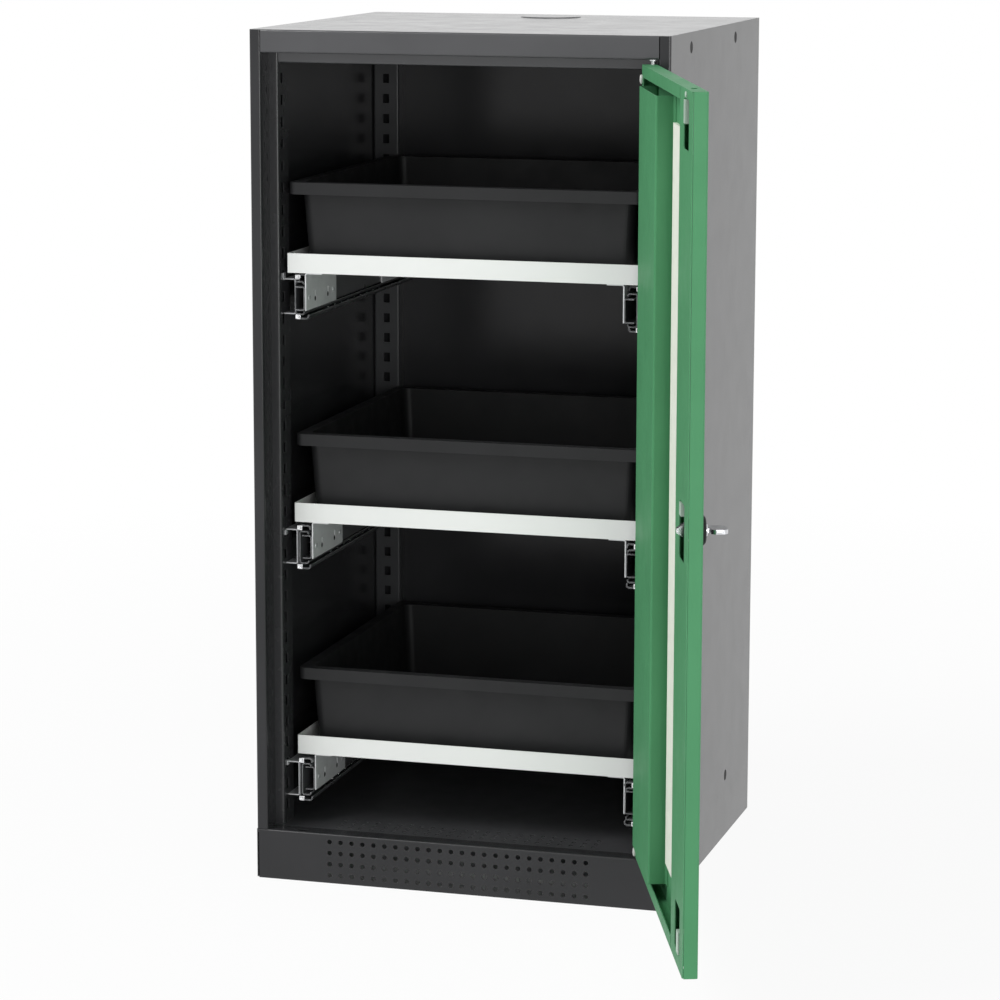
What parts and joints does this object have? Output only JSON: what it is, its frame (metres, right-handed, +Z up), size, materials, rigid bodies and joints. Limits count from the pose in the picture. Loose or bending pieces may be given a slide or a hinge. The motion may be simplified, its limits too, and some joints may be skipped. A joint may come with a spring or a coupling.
{
  "type": "reagent drawer cabinet",
  "caption": "Slim steel cabinet whose swinging door closes over pull-out trays on ball-bearing runners, with a rod lock and a vented plinth.",
  "frame": {"origin": "middle of the body's footprint, on the ground under the plinth's edge", "axes": "+X to the right seen from the front, +Y to the back, +Z up; the door swings at the -Y side"},
  "size_m": [0.7148, 0.9912, 1.1062],
  "materials": {
    "cabinet_paint": "semi-gloss powder coat",
    "post_paint": "semi-gloss powder coat",
    "door_paint": "semi-gloss powder coat",
    "zinc_steel": "zinc plated",
    "ball_steel": "polished",
    "handle_chrome": "satin chrome",
    "pan_paint": "white powder coat",
    "tray_plastic": "fine texture",
    "board": "cream, smooth",
    "black_plastic": "smooth",
    "pale_plastic": "smooth",
    "case_steel": "dull"
  },
  "bodies": {
    "cabinet": {"side_panel_left": "cabinet_paint", "side_panel_right": "cabinet_paint", "front_post_left": "post_paint", "front_post_right": "post_paint", "rear_post_left": "post_paint", "rear_post_right": "post_paint", "back_panel": "cabinet_paint", "top_panel": "cabinet_paint", "exhaust_cover": "cabinet_paint", "door_lintel": "post_paint", "floor_panel": "cabinet_paint", "plinth_panel": "cabinet_paint", "side_plugs": "black_plastic", "hinge_pins": "zinc_steel", "runner_brackets_top": "zinc_steel", "runner_brackets_middle": "zinc_steel", "runner_brackets_bottom": "zinc_steel", "outer_members_top": "zinc_steel", "outer_members_middle": "zinc_steel", "outer_members_bottom": "zinc_steel"},
    "door": {"door_skin": "door_paint", "door_stiffener": "door_paint", "infill_board": "board", "lock_profile": "door_paint", "hinge_bushes": "pale_plastic", "lock_case": "case_steel", "lock_rosette": "black_plastic", "rod_guides": "pale_plastic"},
    "handle": {"turn_handle": "handle_chrome", "lock_cam": "handle_chrome"},
    "upper_bolt": {"upper_rod": "zinc_steel"},
    "lower_bolt": {"lower_rod": "zinc_steel"},
    "top_drawer": {"inner_members_top": "zinc_steel", "runner_hangers_top": "zinc_steel", "pan_top": "pan_paint", "tray_top": "tray_plastic"},
    "top_intermediate": {"intermediate_members_top": "zinc_steel"},
    "top_outer_cage": {"outer_cages_top": "ball_steel"},
    "top_inner_cage": {"inner_cages_top": "ball_steel"},
    "middle_drawer": {"inner_members_middle": "zinc_steel", "runner_hangers_middle": "zinc_steel", "pan_middle": "pan_paint", "tray_middle": "tray_plastic"},
    "middle_intermediate": {"intermediate_members_middle": "zinc_steel"},
    "middle_outer_cage": {"outer_cages_middle": "ball_steel"},
    "middle_inner_cage": {"inner_cages_middle": "ball_steel"},
    "bottom_drawer": {"inner_members_bottom": "zinc_steel", "runner_hangers_bottom": "zinc_steel", "pan_bottom": "pan_paint", "tray_bottom": "tray_plastic"},
    "bottom_intermediate": {"intermediate_members_bottom": "zinc_steel"},
    "bottom_outer_cage": {"outer_cages_bottom": "ball_steel"},
    "bottom_inner_cage": {"inner_cages_bottom": "ball_steel"}
  },
  "joints": [
    {"name": "door_hinge", "type": "hinge", "parent": "cabinet", "child": "door", "pos_m": [0.249, -0.255, 0.57], "axis": [0, 0, 1], "range_deg": [-110, 0]},
    {"name": "handle_turn", "type": "hinge", "parent": "door", "child": "handle", "pos_m": [0.40846, -0.6785, 0.578], "axis": [0.9397, 0.342, 0], "range_deg": [0, 90]},
    {"name": "upper_rod_slide", "type": "slide", "parent": "door", "child": "upper_bolt", "axis": [0, 0, 1], "range_m": [0, 0.01556]},
    {"name": "lower_rod_slide", "type": "slide", "parent": "door", "child": "lower_bolt", "axis": [0, 0, -1], "range_m": [0, 0.01556]},
    {"name": "top_tray_slide", "type": "slide", "parent": "cabinet", "child": "top_drawer", "axis": [0, -1, 0], "range_m": [-0.025, 0.355]},
    {"name": "top_intermediate_slide", "type": "slide", "parent": "cabinet", "child": "top_intermediate", "axis": [0, -1, 0], "range_m": [-0.0125, 0.1775]},
    {"name": "top_outer_cage_slide", "type": "slide", "parent": "cabinet", "child": "top_outer_cage", "axis": [0, -1, 0], "range_m": [-0.00625, 0.08875]},
    {"name": "top_inner_cage_slide", "type": "slide", "parent": "cabinet", "child": "top_inner_cage", "axis": [0, -1, 0], "range_m": [-0.01875, 0.26625]},
    {"name": "middle_tray_slide", "type": "slide", "parent": "cabinet", "child": "middle_drawer", "axis": [0, -1, 0], "range_m": [-0.005, 0.375]},
    {"name": "middle_intermediate_slide", "type": "slide", "parent": "cabinet", "child": "middle_intermediate", "axis": [0, -1, 0], "range_m": [-0.0025, 0.1875]},
    {"name": "middle_outer_cage_slide", "type": "slide", "parent": "cabinet", "child": "middle_outer_cage", "axis": [0, -1, 0], "range_m": [-0.00125, 0.09375]},
    {"name": "middle_inner_cage_slide", "type": "slide", "parent": "cabinet", "child": "middle_inner_cage", "axis": [0, -1, 0], "range_m": [-0.00375, 0.28125]},
    {"name": "bottom_tray_slide", "type": "slide", "parent": "cabinet", "child": "bottom_drawer", "axis": [0, -1, 0], "range_m": [0, 0.38]},
    {"name": "bottom_intermediate_slide", "type": "slide", "parent": "cabinet", "child": "bottom_intermediate", "axis": [0, -1, 0], "range_m": [0, 0.19]},
    {"name": "bottom_outer_cage_slide", "type": "slide", "parent": "cabinet", "child": "bottom_outer_cage", "axis": [0, -1, 0], "range_m": [0, 0.095]},
    {"name": "bottom_inner_cage_slide", "type": "slide", "parent": "cabinet", "child": "bottom_inner_cage", "axis": [0, -1, 0], "range_m": [0, 0.285]}
  ],
  "couplings": [
    {"joint": "upper_rod_slide", "follows": "lower_rod_slide", "ratio": 1},
    {"joint": "handle_turn", "follows": "lower_rod_slide", "rad_per_m": 100.97},
    {"joint": "top_intermediate_slide", "follows": "top_tray_slide", "ratio": 0.5},
    {"joint": "top_outer_cage_slide", "follows": "top_tray_slide", "ratio": 0.25},
    {"joint": "top_inner_cage_slide", "follows": "top_tray_slide", "ratio": 0.75},
    {"joint": "middle_intermediate_slide", "follows": "middle_tray_slide", "ratio": 0.5},
    {"joint": "middle_outer_cage_slide", "follows": "middle_tray_slide", "ratio": 0.25},
    {"joint": "middle_inner_cage_slide", "follows": "middle_tray_slide", "ratio": 0.75},
    {"joint": "bottom_intermediate_slide", "follows": "bottom_tray_slide", "ratio": 0.5},
    {"joint": "bottom_outer_cage_slide", "follows": "bottom_tray_slide", "ratio": 0.25},
    {"joint": "bottom_inner_cage_slide", "follows": "bottom_tray_slide", "ratio": 0.75}
  ]
}
